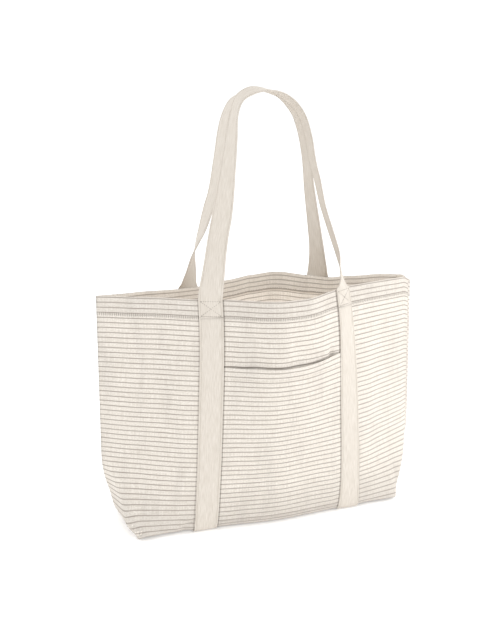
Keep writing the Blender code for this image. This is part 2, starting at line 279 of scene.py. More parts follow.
def low_corner(s, z):
    """The fuller left corner of the box, or the right end that is tucked in."""
    past = abs(s) - BASE_HALF_WIDTH
    if s > 0:
        return -0.0065 * soft_step(past, -0.012, 0.022) * hump(z, 0.0, 0.042)
    proud = 0.0085 * hump(past, 0.004, 0.022) * hump(z, 0.0, 0.030)
    fuller = 0.0105 * soft_step(past, -0.006, 0.030) * smooth(z / 0.020) * hump(z, 0.026, 0.023)
    return proud + fuller


def foot_tuck(s, z):
    """A small slanting tuck beside the foot of the front left strap."""
    aside = abs(s) - STRAP_OUTER
    line = 0.024 - 0.55 * aside
    ridge, furrow = 0.0022 * hump(z, line + 0.008, 0.005), 0.0030 * hump(z, line, 0.0045)
    return (ridge - furrow) * hump(aside, 0.014, 0.016)


def pocket_folds(s, z):
    """The soft folds and the one sharp tuck between the pocket and the hem."""
    zone = soft_step(z, 0.262, 0.020) * (1 - soft_step(z, 0.296, 0.060))
    tuck_zone = soft_step(z, 0.262, 0.008) * (1 - soft_step(z, 0.284, 0.022))
    folds = zone * sum(depth * hump(s, place, spread) for place, spread, depth in SOFT_FOLDS)
    return folds + tuck_zone * sum(depth * hump(s, place, spread) for place, spread, depth in SHARP_TUCK)


def sag(side, s, z):
    """How far the cloth swells (+) or sinks (-) along its outward normal."""
    up = (z - FLOOR_Z) / (RIM_Z - FLOOR_Z)
    to_seam = HALF_CLOTH - abs(s)
    ends = smooth(to_seam / 0.03)
    wander = noise.noise(Vector((s * 9 + side * 3.1, z * 5, side * 4.0)))
    wander += 0.45 * noise.noise(Vector((s * 24 + side * 7.7, z * 11, side * 9.0)))
    swell = 0.0036 * wander * ends * smooth(up / 0.12)
    swell += 0.0055 * hump(z, 0.012, 0.055) * smooth((BASE_HALF_WIDTH + 0.01 - abs(s)) / 0.02)
    swell += low_corner(s, z)
    if side == FRONT and s < 0:
        swell += foot_tuck(s, z)
    swell += 0.003 * soft_step(abs(s), STRAP_OUTER, 0.03) * ends * math.sin(math.pi * min(up * 1.15, 1.0))
    if side == FRONT:
        swell += pocket_folds(s, z) * smooth((STRAP_INNER - abs(s)) / 0.04)
    # The hem's stitches and the side seam draw the cloth into small ripples.
    hem_zone = hump(z, RIM_Z - 0.028, 0.006)
    swell += 0.00055 * hem_zone * math.sin(s * 2 * math.pi / 0.0075 + 0.8 * math.sin(s * 41)) * ends
    pucker = smooth(1 - to_seam / 0.016) * (1 - smooth(1 - to_seam / 0.003))
    return swell + 0.0007 * pucker * math.sin(z * 2 * math.pi / 0.011 + side)


def cloth_point(side, s, z, lift=0.0):
    """(point, outward direction) of the outer cloth face, with its sag."""
    step = 0.002
    here = softened(side, s, z)
    wide = softened(side, min(s + step, HALF_CLOTH), z) - softened(side, max(s - step, -HALF_CLOTH), z)
    tall = softened(side, s, min(z + step, RIM_Z)) - softened(side, s, max(z - step, FLOOR_Z))
    out = wide.cross(tall).normalized()
    point = here + out * (sag(side, s, z) + lift)
    point.y = min(point.y, 0.0)
    up = (z - FLOOR_Z) / (RIM_Z - FLOOR_Z)
    point.z += along_table(RIM_LIFT[side], s) * up**2
    if side == BACK:
        point.y, out.y = -point.y, -out.y
    point.y += SEAM_Y
    return point, out


# ---------------------------------------------------------------- meshes


def mesh_object(name, points, faces, uvs, material, smooth_faces=True):
    """A mesh object from plain lists; uvs holds one pair for each corner of each face."""
    mesh = bpy.data.meshes.new(name)
    mesh.from_pydata([tuple(p) for p in points], [], faces)
    layer = mesh.uv_layers.new(name="cloth")
    flat = [value for pair in uvs for value in pair]
    layer.data.foreach_set("uv", flat)
    mesh.polygons.foreach_set("use_smooth", [smooth_faces] * len(faces))
    mesh.materials.append(material)
    mesh.validate()
    obj = bpy.data.objects.new(name, mesh)
    bpy.context.scene.collection.objects.link(obj)
    return obj


def ring_faces(first, second, count, closed=True):
    """Quads between two rings of the same count, by the index of their first points."""
    last = count if closed else count - 1
    for i in range(last):
        j = (i + 1) % count
        yield (first + i, first + j, second + j, second + i), i


def each(height, count):
    """One height for every point of a level, from a single one or from its own list."""
    return height if isinstance(height, list) else [height] * count


def shell_faces(rows, spots, ring_closed=True, section_closed=False):
    """Faces and cloth coordinates between levels of (points, height), with spots along each level."""
    count = len(rows[0][0])
    faces, uvs = [], []
    for k in range(len(rows) if section_closed else len(rows) - 1):
        upper = (k + 1) % len(rows)
        low, high = each(rows[k][1], count), each(rows[upper][1], count)
        for face, i in ring_faces(k * count, upper * count, count, ring_closed):
            u0, u1, j = spots[i], spots[i + 1], (i + 1) % count
            faces.append(face)
            uvs += [(u0, low[i]), (u1, low[j]), (u1, high[j]), (u0, high[i])]
    return faces, uvs


def run_length(stations):
    return sum((b[0] - a[0]).length for a, b in zip(stations, stations[1:]))


def band_profile(width, thickness, edge_steps=3, face_steps=6):
    """The outline of a flat strap with rounded edges and a slight crown, going round."""
    half, round_edge = width / 2, thickness / 2
    outline = []
    for i in range(edge_steps * 2 + 1):
        angle = -math.pi / 2 + math.pi * i / (edge_steps * 2)
        outline.append((half - round_edge + math.cos(angle) * round_edge, math.sin(angle) * round_edge))
    groove, bottom = STITCH_INSET, round_edge - 0.00035
    across = (groove * 0.6, groove * 0.85, groove, groove * 1.15, groove * 1.4)
    heights = (round_edge, round_edge - 0.0001, bottom, round_edge - 0.0001, round_edge)
    face = [(half - a, h) for a, h in zip(across, heights)]
    face += [((half - 0.008) * (1 - 2 * i / face_steps), round_edge + 0.0001) for i in range(face_steps + 1)]
    face += [(-x, h) for x, h in face[: len(across)][::-1]]
    outline += face
    for i in range(edge_steps * 2 + 1):
        angle = math.pi / 2 + math.pi * i / (edge_steps * 2)
        outline.append((-half + round_edge + math.cos(angle) * round_edge, math.sin(angle) * round_edge))
    outline += [(-x, -h) for x, h in face]
    return outline


def band_object(name, centres, profile, material):
    """A closed strip along (point, across, out) stations, with its length in the UV map."""
    profile = list(profile)
    ahead = centres[1][0] - centres[0][0]
    if centres[0][1].cross(centres[0][2]).dot(ahead) < 0:
        profile.reverse()
    count = len(profile)
    rows = []
    for k, (point, across, out) in enumerate(centres):
        rows.append(([point + across * a + out * o for a, o in profile], run_length(centres[: k + 1])))
    spots = [a for a, _ in profile] + [profile[0][0]]
    faces, uvs = shell_faces(rows, spots)
    for start, order in ((0, -1), ((len(rows) - 1) * count, 1)):
        cap = [start + i for i in range(count)][::order]
        faces.append(tuple(cap))
        uvs += [(spots[i - start], 0.0) for i in cap]
    points = [p for ring_points, _ in rows for p in ring_points]
    obj = mesh_object(name, points, faces, uvs, material)
    obj.data.polygons[-1].use_smooth = False
    obj.data.polygons[-2].use_smooth = False
    return obj


def stitches(rows, pitch, thickness):
    """Points and faces of thread stitches along rows of (point, out), each row sewn from end to end."""
    points, faces = [], []
    sides = 6
    fill = 0.74  # share of the pitch that the thread shows before it dives into the cloth
    dips = ((0.0, -0.9, 0.55), (0.18, 0.15, 1.0), (0.5, 0.45, 1.08), (0.82, 0.15, 1.0), (1.0, -0.9, 0.55))
    for row in rows:
        lengths = [0.0]
        for (a, _), (b, _) in zip(row, row[1:]):
            lengths.append(lengths[-1] + (b - a).length)
        total = lengths[-1]
        number = max(int(round(total / pitch)), 1)
        gap = total / number
        cursor = 0

        def at(distance):
            nonlocal cursor
            while cursor < len(row) - 2 and lengths[cursor + 1] < distance:
                cursor += 1
            span = max(lengths[cursor + 1] - lengths[cursor], 1e-9)
            part = (distance - lengths[cursor]) / span
            (start, start_out), (end, end_out) = row[cursor : cursor + 2]
            return start.lerp(end, part), start_out.lerp(end_out, part)

        for n in range(number):
            start, out = at((n + (1 - fill) / 2) * gap)
            end, _ = at((n + (1 + fill) / 2) * gap)
            ahead = (end - start).normalized()
            out = (out - ahead * out.dot(ahead)).normalized()
            across = ahead.cross(out)
            base = len(points)
            for share, lift, girth in dips:
                centre = start.lerp(end, share) + out * thickness * 0.5 * lift
                for i in range(sides):
                    angle = 2 * math.pi * i / sides
                    spoke = across * math.cos(angle) + out * math.sin(angle) * 0.8
                    points.append(centre + spoke * thickness * 0.5 * girth)
            for k in range(len(dips) - 1):
                for face, _ in ring_faces(base + k * sides, base + (k + 1) * sides, sides):
                    faces.append(face)
            faces.append(tuple(base + i for i in range(sides))[::-1])
            faces.append(tuple(base + (len(dips) - 1) * sides + i for i in range(sides)))
    return points, faces


def stitch_object(name, rows, material, girth=1.0, body="bag"):
    """A piece of thread stitches along the rows; without a body it is left unattached."""
    sizes = bpy.context.scene.tote_sizes
    points, faces = stitches(rows, sizes.stitch, sizes.thread * girth)
    uvs = [(0.0, 0.0)] * sum(len(face) for face in faces)
    sewn = mesh_object(name, points, faces, uvs, material)
    if body:
        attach(sewn, body)
    return sewn


# ---------------------------------------------------------------- materials


def add_node(tree, kind, settings=None, links=None):
    """Adds a node; settings name its own properties or input sockets, links name inputs and give outputs."""
    made = tree.nodes.new(kind)
    for key, value in (settings or {}).items():
        if isinstance(key, int) or key in made.inputs:
            made.inputs[key].default_value = value
        else:
            setattr(made, key, value)
    for key, output in (links or {}).items():
        tree.links.new(output, made.inputs[key])
    return made


def new_material(name):
    material = bpy.data.materials.new(name)
    material.use_nodes = True
    material.node_tree.nodes.clear()
    return material, material.node_tree


def put(tree, socket, value):
    """Links an output to a socket, or sets a fixed value on it."""
    if isinstance(value, bpy.types.NodeSocket):
        tree.links.new(value, socket)
    elif value is not None:
        socket.default_value = value if isinstance(value, (int, float)) else tuple(value)


def maths(tree, operation, first, second=None, third=None):
    made = add_node(tree, "ShaderNodeMath", {"operation": operation})
    for index, value in enumerate((first, second, third)):
        put(tree, made.inputs[index], value)
    return made.outputs[0]


def remapped(tree, value, start, full, to_full=1.0, to_start=0.0, soft=False):
    """A value brought from the stretch between start and full to the one between to_start and to_full."""
    settings = {"From Min": start, "From Max": full, "To Min": to_start, "To Max": to_full}
    settings["interpolation_type"] = "SMOOTHSTEP" if soft else "LINEAR"
    return add_node(tree, "ShaderNodeMapRange", settings, {0: value}).outputs[0]


def near_line(tree, place, centre, width, strength):
    """The strength on a line at the given place, fading to nothing half a width either side."""
    distance = maths(tree, "ABSOLUTE", maths(tree, "SUBTRACT", place, centre))
    return remapped(tree, distance, width * 0.65, width * 0.35, strength, soft=True)


def blend_colours(tree, factor, first, second):
    """Mixes two colours; each is a socket or a fixed colour."""
    mix = add_node(tree, "ShaderNodeMix", {"data_type": "RGBA"})
    for index, value in ((0, factor), (6, first), (7, second)):
        put(tree, mix.inputs[index], value)
    return mix.outputs[2]


def wave_bands(tree, place, direction, spacing, finish):
    """Soft bands a spacing apart: the wave node repeats every 2 pi / 20 of its input."""
    settings = {"bands_direction": direction, "Scale": 2 * math.pi / spacing / 20} | finish
    return add_node(tree, "ShaderNodeTexWave", settings, {"Vector": place}).outputs["Fac"]


def woven(tree, thread_spacing, grain_strength):
    """Cloth coordinates in metres, and a bump height of a plain weave with uneven yarns."""
    cloth = add_node(tree, "ShaderNodeUVMap", {"uv_map": "cloth"}).outputs[0]
    waver = {"Distortion": 0.6, "Detail": 1.0, "Detail Scale": 2.0}
    warp = wave_bands(tree, cloth, "X", thread_spacing, waver)
    weft = wave_bands(tree, cloth, "Y", thread_spacing, waver)
    grain = {"Scale": 420.0, "Detail": 3.0, "Roughness": 0.6}
    lumps = add_node(tree, "ShaderNodeTexNoise", grain, {"Vector": cloth}).outputs["Fac"]
    return cloth, maths(tree, "MULTIPLY_ADD", lumps, grain_strength, maths(tree, "MULTIPLY", warp, weft))


def slubs(tree, cloth, along, across):
    """Noise drawn out along the yarns, as where a yarn thickens: scales are per metre."""
    scale = {"operation": "MULTIPLY", 1: (along, across, 1.0)}
    stretched = add_node(tree, "ShaderNodeVectorMath", scale, {0: cloth}).outputs[0]
    finish = {"Scale": 1.0, "Detail": 2.0, "Roughness": 0.55}
    return add_node(tree, "ShaderNodeTexNoise", finish, {"Vector": stretched}).outputs["Fac"]


def cloth_shader(tree, colour, height, depth, roughness, sheen, glow=None):
    bump = add_node(tree, "ShaderNodeBump", {"Strength": 0.55, "Distance": depth}, {"Height": height})
    finish = {
        "Roughness": roughness,
        "Specular IOR Level": 0.25,
        "Sheen Weight": sheen,
        "Sheen Roughness": 0.5,
    }
    links = {"Base Color": colour, "Normal": bump.outputs[0]}
    # A painted glow: an emission that stands in for the light that comes through the cloth.
    if glow is not None:
        finish["Emission Strength"] = PAINTED_GLOW_THROUGH
        links["Emission Color"] = glow
    shader = add_node(tree, "ShaderNodeBsdfPrincipled", finish, links)
    add_node(tree, "ShaderNodeOutputMaterial", links={"Surface": shader.outputs[0]})


def canvas_ground(tree, cloth, weft_streaks, place):
    """The undyed ground of the canvas, made uneven by its yarns, with painted shade in soft folds, over the
    hem and towards the foot.
    """
    colours = bpy.context.scene.tote_colours
    # 8F8A86 is the grey of painted shade, for soft folds, the doubled hem and the foot.
    shade, painted_shade_grey = colours.canvas_shade, linear("8F8A86")
    hem_from = RIM_Z - bpy.context.scene.tote_sizes.hem
    # Each layer: what it follows, where it starts and where it is full, its share and its colour.
    layers = (
        (maths(tree, "MULTIPLY", weft_streaks, slubs(tree, cloth, 900.0, 34.0)), 0.12, 0.42, 0.85, shade),
        # Yarns differ a little from one to the next; each fleck is about as long as three crossings.
        (slubs(tree, cloth, 330.0, 620.0), 0.46, 0.66, 0.75, shade),
        # Faint upright waves, wider than the yarns and very faint: partly the cloth's uneven tone, partly
        # painted shade of soft folds.
        (slubs(tree, cloth, 36.0, 6.0), 0.50, 0.72, 0.13, painted_shade_grey),
        # Painted shade: two layers of cloth in the hem let less light through, so the hem is painted a little
        # greyer.
        (place, hem_from - 0.001, hem_from + 0.001, 0.12, painted_shade_grey),
        # Painted shade: the cloth is painted greyer towards the foot of the bag, which gets less light.
        (place, 0.080, 0.005, 0.26, painted_shade_grey),
    )
    ground = colours.canvas
    for follows, start, full, share, colour in layers:
        ground = blend_colours(tree, remapped(tree, follows, start, full, share), ground, colour)
    return ground


def dyed_stripes(tree, cloth, weft_streaks, place, panel_place):
    """How strongly the dyed yarns show: thin stripes across the cloth, never quite level or even."""
    sizes = bpy.context.scene.tote_sizes
    pitch = sizes.stripe_pitch
    wandered = maths(tree, "MULTIPLY_ADD", slubs(tree, cloth, 14.0, 3.0), 0.0008, place)
    # Past the side seam the stripes belong to the other panel, half a repeat out of step.
    beyond = maths(tree, "GREATER_THAN", panel_place, HALF_CLOTH - SEAM_WRAP)
    stepped = maths(tree, "MULTIPLY_ADD", beyond, pitch / 2, wandered)
    repeat = maths(tree, "FRACT", maths(tree, "DIVIDE", stepped, pitch))
    distance = maths(tree, "ABSOLUTE", maths(tree, "SUBTRACT", repeat, 0.5))
    half_stripe = sizes.stripe_width / pitch / 2
    inked = remapped(tree, distance, half_stripe * 1.35, half_stripe * 0.65, soft=True)
    return maths(tree, "MULTIPLY", inked, remapped(tree, weft_streaks, 0.3, 0.7, 1.0, 0.72))


def gap_shadow_lines(tree, place, panel_place):
    """Painted shadow: narrow dark gaps beside the straps, deeper on their inner side, and in the ditch of the
    side seam.
    """
    off_centre = maths(tree, "ABSOLUTE", panel_place)
    inner_gap = near_line(tree, off_centre, STRAP_INNER - 0.0012, 0.0016, 0.62)
    outer_gap = near_line(tree, off_centre, STRAP_OUTER + 0.0010, 0.0013, 0.34)
    ditch = near_line(tree, panel_place, HALF_CLOTH - SEAM_WRAP, 0.0009, 0.30)
    return maths(tree, "ADD", maths(tree, "ADD", inner_gap, outer_gap), ditch)


def hem_pucker_shadows(tree, cloth, place):
    """Painted shade in short upright puckers, 3.2 mm apart, where the hem's stitches draw the cloth in."""
    ticks = wave_bands(tree, cloth, "X", 0.0032, {"Distortion": 1.5, "Detail": 1.0})
    row_z = RIM_Z - bpy.context.scene.tote_sizes.hem + 0.0022
    row = near_line(tree, place, row_z, 0.0052, 0.42)
    return maths(tree, "MULTIPLY", remapped(tree, ticks, 0.45, 0.95), row)


def pocket_shadow(tree, along, place):
    """The pocket's mouth throws a thin, deep shadow on the cloth just above it."""
    slant = remapped(tree, along, SLANT_FROM, SLANT_TO, -POCKET_SLANT, soft=True)
    mouth_z = bpy.context.scene.tote_sizes.pocket_top + 0.0014
    mouth = near_line(tree, maths(tree, "ADD", place, slant), mouth_z, 0.0026, 0.45)
    between_straps = maths(tree, "LESS_THAN", maths(tree, "ABSOLUTE", along), STRAP_INNER)
    return maths(tree, "MULTIPLY", mouth, between_straps)


def striped_canvas(face=OUTER):
    """Undyed cotton canvas, plain woven, with thin yarn-dyed stripes: matt, warm and slightly uneven, with
    painted shade and shadow lines, and on its inner face a painted glow.
    """
    material, tree = new_material("striped cotton canvas, plain woven, " + face)
    # Yarns lie 0.6 mm apart; they are drawn 1.1 mm apart so that the weave shows.
    cloth, height = woven(tree, 0.0011, 0.8)
    weft_streaks = slubs(tree, cloth, 28.0, 900.0)
    along, place = add_node(tree, "ShaderNodeSeparateXYZ", links={0: cloth}).outputs[:2]
    panel_place = maths(tree, "WRAP", along, HALF_CLOTH, -HALF_CLOTH)
    stripes = dyed_stripes(tree, cloth, weft_streaks, place, panel_place)
    ground = canvas_ground(tree, cloth, weft_streaks, place)
    colour = blend_colours(tree, stripes, ground, bpy.context.scene.tote_colours.stripe)
    # Painted shadow lines, darkened towards 5F5850: beside the straps and in the side seam's ditch, and on
    # the outer face also in the hem's puckers and over the pocket's mouth.
    if face != INNER:
        painted_shadow_lines = gap_shadow_lines(tree, place, panel_place)
        if face == OUTER:
            painted_shadow_lines = maths(tree, "ADD", painted_shadow_lines, hem_pucker_shadows(tree, cloth, place))
            painted_shadow_lines = maths(tree, "ADD", painted_shadow_lines, pocket_shadow(tree, along, place))
        colour = blend_colours(tree, painted_shadow_lines, colour, linear("5F5850"))
    glow = None
    if face == INNER:
        # The painted glow is about half as strong over the hem, as the doubled cloth lets about half as much
        # light through.
        hem_from = RIM_Z - bpy.context.scene.tote_sizes.hem
        single = remapped(tree, place, hem_from + 0.001, hem_from - 0.001, 1.0, 0.55)
        glow = blend_colours(tree, single, linear("000000"), colour)
    cloth_shader(tree, colour, height, 0.00012, 0.92, 0.08, glow)
    return material


def striped_canvas_inside():
    """The inner face of the same canvas, with a painted glow that stands in for the light that comes through
    one layer.
    """
    return striped_canvas(INNER)


def striped_canvas_pocket():
    """The same canvas as the patch pocket is cut from."""
    return striped_canvas(POCKET)


def strap_canvas():
    """Undyed cotton canvas folded and sewn flat: denser than the bag, with a faint rib along it."""
    colours = bpy.context.scene.tote_colours
    shade = colours.strap_shade
    material, tree = new_material("undyed cotton canvas strap, folded and sewn")
    # The yarns lie 0.7 mm apart and are drawn 1.2 mm apart so that they show.
    cloth, height = woven(tree, 0.0012, 0.9)
    off_centre = maths(tree, "ABSOLUTE", add_node(tree, "ShaderNodeSeparateXYZ", links={0: cloth}).outputs[0])
    half = STRAP_WIDTH / 2
    layers = (
        (slubs(tree, cloth, 700.0, 60.0), 0.30, 0.70, 1.0, shade),
        # Handling leaves broad, faint patches on undyed canvas.
        (slubs(tree, cloth, 90.0, 26.0), 0.48, 0.72, 0.45, shade),
        # Painted shade: a thin darker line along the folded edges, where the strap's sides turn away from the
        # light.
        (off_centre, half - 0.0010, half - 0.0004, 0.22, colours.stripe),
    )
    colour = colours.strap
    for follows, start, full, share, over in layers:
        colour = blend_colours(tree, remapped(tree, follows, start, full, share), colour, over)
    cloth_shader(tree, colour, height, 0.00014, 0.9, 0.08)
    return material


def spun_thread(name, colour, twist_colour, roughness):
    """A thread whose twist repeats every 1.2 mm, drawn as a soft band."""
    material, tree = new_material(name)
    place = add_node(tree, "ShaderNodeTexCoord").outputs["Object"]
    twist = wave_bands(tree, place, "DIAGONAL", 0.0012083, {"Distortion": 0.5})
    cloth_shader(tree, blend_colours(tree, twist, colour, twist_colour), twist, 0.00005, roughness, 0.05)
    return material


def cotton_thread():
    """Cotton sewing thread, waxed: a touch smoother than the cloth, so each stitch catches light."""
    colours = bpy.context.scene.tote_colours
    return spun_thread("cotton sewing thread, spun", colours.thread, colours.strap_shade, 0.7)


def painted_shade_cotton_thread():
    """The cotton thread darkened as painted shade, for the shadow round the stitches: the hem rows and
    crossed boxes are sewn with it and read darker.
    """
    colours = bpy.context.scene.tote_colours
    return spun_thread("cotton thread darkened with painted shade, spun", colours.painted_shade_thread, colours.stripe, 0.75)


def overlocked_edge():
    """Canvas edges trimmed and overlocked: loops of thread across the edge, rough and slightly darker."""
    colours = bpy.context.scene.tote_colours
    material, tree = new_material("overlocked canvas edge, sewn")
    cloth, height = woven(tree, 0.0014, 0.6)
    loops = slubs(tree, cloth, 120.0, 520.0)
    colour = blend_colours(tree, loops, colours.seam, colours.strap_shade)
    cloth_shader(tree, colour, height, 0.0002, 0.92, 0.05)
    return material


def shared_material(maker):
    """The material that a maker gives, made once."""
    scene = bpy.context.scene
    key = "tote_" + maker.__name__
    if key not in scene:
        scene[key] = maker().name
    return bpy.data.materials[scene[key]]


# ---------------------------------------------------------------- the bag itself


def cloth_columns():
    """Places along one panel from side seam to side seam, closer where the cloth turns."""
    stops = (-HALF_CLOTH, -BASE_HALF_WIDTH, -STRAP_OUTER, -STRAP_INNER)
    stops += (STRAP_INNER, STRAP_OUTER, BASE_HALF_WIDTH, HALF_CLOTH)
    places = []
    for start, end, count in zip(stops, stops[1:], (20, 22, 8, 56, 8, 22, 20)):
        places += [start + (end - start) * i / count for i in range(count)]
    return places + [HALF_CLOTH]


def bottom_radius(s):
    """The radius of the fold round the base, tighter towards its corners."""
    corner = smooth((abs(s) - STRAP_OUTER) / (BASE_HALF_WIDTH - STRAP_OUTER))
    return bpy.context.scene.tote_sizes.bottom_round * (1 - 0.62 * corner)


def ring(z, inset, columns, turn=None):
    """One level round the bag, pulled in by the inset; a turn is how far it is round the base fold."""
    front, back = [], []
    for side, row, order in ((FRONT, front, columns), (BACK, back, columns[::-1])):
        for s in order:
            radius = bottom_radius(s)
            point, out = cloth_point(side, s, z if turn is None else FLOOR_Z + radius)
            if turn is not None:
                flat = Vector((out.x, out.y, 0)).normalized()
                reach = radius - inset
                point -= flat * reach * (1 - math.cos(turn)) + ALONG_Z * reach * math.sin(turn)
            moved = point - out * inset
            if abs(s) == HALF_CLOTH:
                moved = Vector((point.x - math.copysign(inset * SEAM_TUCK, s), SEAM_Y, point.z))
            elif side == FRONT:
                moved.y = min(moved.y, SEAM_Y - LEAST_GAP)
            else:
                moved.y = max(moved.y, SEAM_Y + LEAST_GAP)
            row.append(moved)
    return front[:-1] + back[:-1]


class TOTE_OT_body(bpy.types.Operator):
    """Lofts the bag as one thin shell of canvas, with its hem turned in at the rim"""

    bl_idname = "tote.body"
    bl_label = "Bag body"

    def execute(self, context):
        sizes = context.scene.tote_sizes
        columns = cloth_columns()
        wall_steps, fold_steps, hem_steps = 74, 6, 10
        inner_steps = wall_steps - 6
        cloth, hem = sizes.cloth, sizes.hem
        wall_low, wall_top, edge_z = FLOOR_Z + sizes.bottom_round, RIM_Z - RIM_FOLD, RIM_Z - hem
        fold = cloth * HEM_STANDS_OFF / 2
        rows = self.base_arc(0.0, columns)
        for i in range(wall_steps + 1):
            z = wall_low + (wall_top - wall_low) * i / wall_steps
            rows.append((ring(z, 0.0, columns), z))
        for i in range(1, fold_steps):
            angle = math.pi * i / fold_steps
            level = ring(wall_top, fold * (1 - math.cos(angle)), columns)
            lifted = [p + ALONG_Z * RIM_FOLD * math.sin(angle) for p in level]
            rows.append((lifted, RIM_Z + 0.002 * i / fold_steps))
        inner_from = len(rows)
        for i in range(hem_steps + 1):
            z = wall_top - (hem - RIM_FOLD) * i / hem_steps
            rows.append((ring(z, cloth * HEM_STANDS_OFF, columns), 2 * RIM_Z - z))
        # The hem's cut edge steps down onto the inner face of the wall.
        rows.append((ring(edge_z - 0.0006, cloth * 1.9, columns), 2 * RIM_Z - edge_z))
        below = edge_z - 0.0008
        rows.append((ring(below, cloth, columns), edge_z))
        for i in range(1, inner_steps + 1):
            z = below + (wall_low - below) * i / inner_steps
            rows.append((ring(z, cloth, columns), z))
        rows += self.base_arc(cloth, columns)[::-1]

        count = len(rows[0][0])
        points = [p for level, _ in rows for p in level]
        spots = columns[:-1] + [2 * HALF_CLOTH - s for s in columns[::-1]]
        faces, uvs = shell_faces(rows, spots)
        side_faces = len(faces)
        self.floors(rows, points, faces, uvs, columns)
        body = mesh_object("bag_body", points, faces, uvs, shared_material(striped_canvas))
        body.data.materials.append(shared_material(striped_canvas_inside))
        base_faces = (len(faces) - side_faces) // 2
        for i, face in enumerate(body.data.polygons):
            inside = inner_from * count <= i < side_faces or i >= side_faces + base_faces
            face.material_index = 1 if inside else 0
        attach(body, "bag")
        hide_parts("front_panel", "back_panel", "base_panel", "front_rim_hem", "back_rim_hem")
        return {"FINISHED"}

    def base_arc(self, inset, columns):
        """Levels from the flat of the base up round the bottom fold, with heights along the cloth."""
        round_steps = 8
        around = columns[:-1] + columns[:0:-1]
        levels = []
        for i in range(round_steps):
            turn = math.pi / 2 * (1 - i / round_steps)
            heights = [FLOOR_Z + bottom_radius(s) * (1 - turn) for s in around]
            levels.append((ring(FLOOR_Z, inset, columns, turn), heights))
        return levels

    def floors(self, rows, points, faces, uvs, columns):
        """Fills the base, outside and inside, with a grid between the front, the ends and the back."""
        first_corner = columns.index(-BASE_HALF_WIDTH)
        last_corner = columns.index(BASE_HALF_WIDTH)
        count = len(rows[0][0])
        wide = last_corner - first_corner
        deep = 2 * first_corner
        for row, dome_height in ((0, 0.0015), (len(rows) - 1, 0.0006)):
            start = row * count

            def edge(i, j):
                """The shared point at column i, row j of the grid, or None inside it."""
                if j == 0:
                    return start + first_corner + i
                if j == deep:
                    return start + 2 * (len(columns) - 1) - first_corner - i
                if i == wide:
                    return start + last_corner + j
                if i == 0:
                    return start + (first_corner - j) % count
                return None

            index = {}
            for j in range(deep + 1):
                for i in range(wide + 1):
                    known = edge(i, j)
                    if known is None:
                        front, back = points[edge(i, 0)], points[edge(i, deep)]
                        left, right = points[edge(0, j)], points[edge(wide, j)]
                        spot = front.lerp(back, j / deep)
                        spot.x = (spot.x + left.x + (right.x - left.x) * i / wide) / 2
                        spot.z = (front.z + back.z) / 2
                        dome = math.sin(math.pi * i / wide) * math.sin(math.pi * j / deep)
                        uneven = 0.4 + 0.6 * noise.noise(Vector((spot.x * 14, spot.y * 14, 2.0)))
                        spot.z += dome_height * dome * uneven
                        known = len(points)
                        points.append(spot)
                    index[i, j] = known
            for j in range(deep):
                for i in range(wide):
                    quad = [index[i, j], index[i, j + 1], index[i + 1, j + 1], index[i + 1, j]]
                    if row:
                        quad.reverse()
                    faces.append(tuple(quad))
                    uvs += [(points[q].x, points[q].y - SEAM_Y - BASE_HALF_DEPTH) for q in quad]


# ---------------------------------------------------------------- straps


def strap_station(side, sign, z):
    """(point, across, out) of the middle of a strap where it lies on the bag."""
    off = bpy.context.scene.tote_sizes.webbing / 2 + STRAP_GAP
    inner, out_a = cloth_point(side, sign * STRAP_INNER, z)
    outer, out_b = cloth_point(side, sign * STRAP_OUTER, z)
    middle, out = cloth_point(side, sign * (STRAP_INNER + STRAP_OUTER) / 2, z)
    across = (outer - inner).normalized() * sign
    out = square_to(out_a + out_b + out, across)
    return (inner + outer + middle) / 3 + out * off, across, out


def square_to(direction, other):
    """The unit direction nearest to the one given that is square to the other."""
    direction = direction.normalized()
    return (direction - other * direction.dot(other)).normalized()


def strap_stations(sign):
    """(point, across, out) of a strap from its front top edge, under the base, to its back top edge."""
    sizes = bpy.context.scene.tote_sizes
    reach = sizes.bottom_round + sizes.webbing / 2 + STRAP_GAP
    steps, round_steps, under_steps = 64, 8, 12
    runs = []
    for side in (FRONT, BACK):
        run = []
        for i in range(steps + 1):
            fall = (FLOOR_Z + sizes.bottom_round - STRAP_TOP_Z) * i / steps
            run.append(strap_station(side, sign, STRAP_TOP_Z + fall))
        centre = run[-1][0] - ALONG_Y * side * reach
        for i in range(1, round_steps + 1):
            angle = math.pi / 2 * i / round_steps
            turned = ALONG_Y * side * math.cos(angle) - ALONG_Z * math.sin(angle)
            run.append((centre + turned * reach, ALONG_X, turned))
        runs.append(run)
    front_end, back_end = runs[0][-1][0], runs[1][-1][0]
    under = [(front_end.lerp(back_end, i / under_steps), ALONG_X, -ALONG_Z) for i in range(1, under_steps)]
    return runs[0] + under + runs[1][::-1]


def edge_rows(stations, width, thickness, inset, faces=(1,)):
    """Stitch rows inside both edges of a strap, on its outer face (1), its inner face (-1) or both."""
    rows = []
    for face in faces:
        for edge in (-1, 1):
            row = []
            for point, across, out in stations:
                lift = out * (thickness / 2 * face)
                row.append((point + across * (width / 2 - inset) * edge + lift, out * face))
            rows.append(row)
    return rows


def strap_band(name, stations):
    """One strap or handle along its stations, standing for the frame's node of that name."""
    webbing = bpy.context.scene.tote_sizes.webbing
    profile = band_profile(STRAP_WIDTH, webbing)
    band = band_object("canvas_" + name, stations, profile, shared_material(strap_canvas))
    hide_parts(name)
    return band


class TOTE_OT_straps(bpy.types.Operator):
    """Runs the two straps down the front, under the base and up the back"""

    bl_idname = "tote.straps"
    bl_label = "Straps"

    def execute(self, context):
        webbing = context.scene.tote_sizes.webbing
        thread = shared_material(cotton_thread)
        for name, sign in (("left_strap", -1), ("right_strap", 1)):
            stations = strap_stations(sign)
            band = strap_band(name, stations)
            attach(band, "bag")
            rows = edge_rows(stations, STRAP_WIDTH, webbing, STITCH_INSET)
            sewn = stitch_object(name + "_edge_stitches", rows, thread)
        return {"FINISHED"}


# ---------------------------------------------------------------- handles

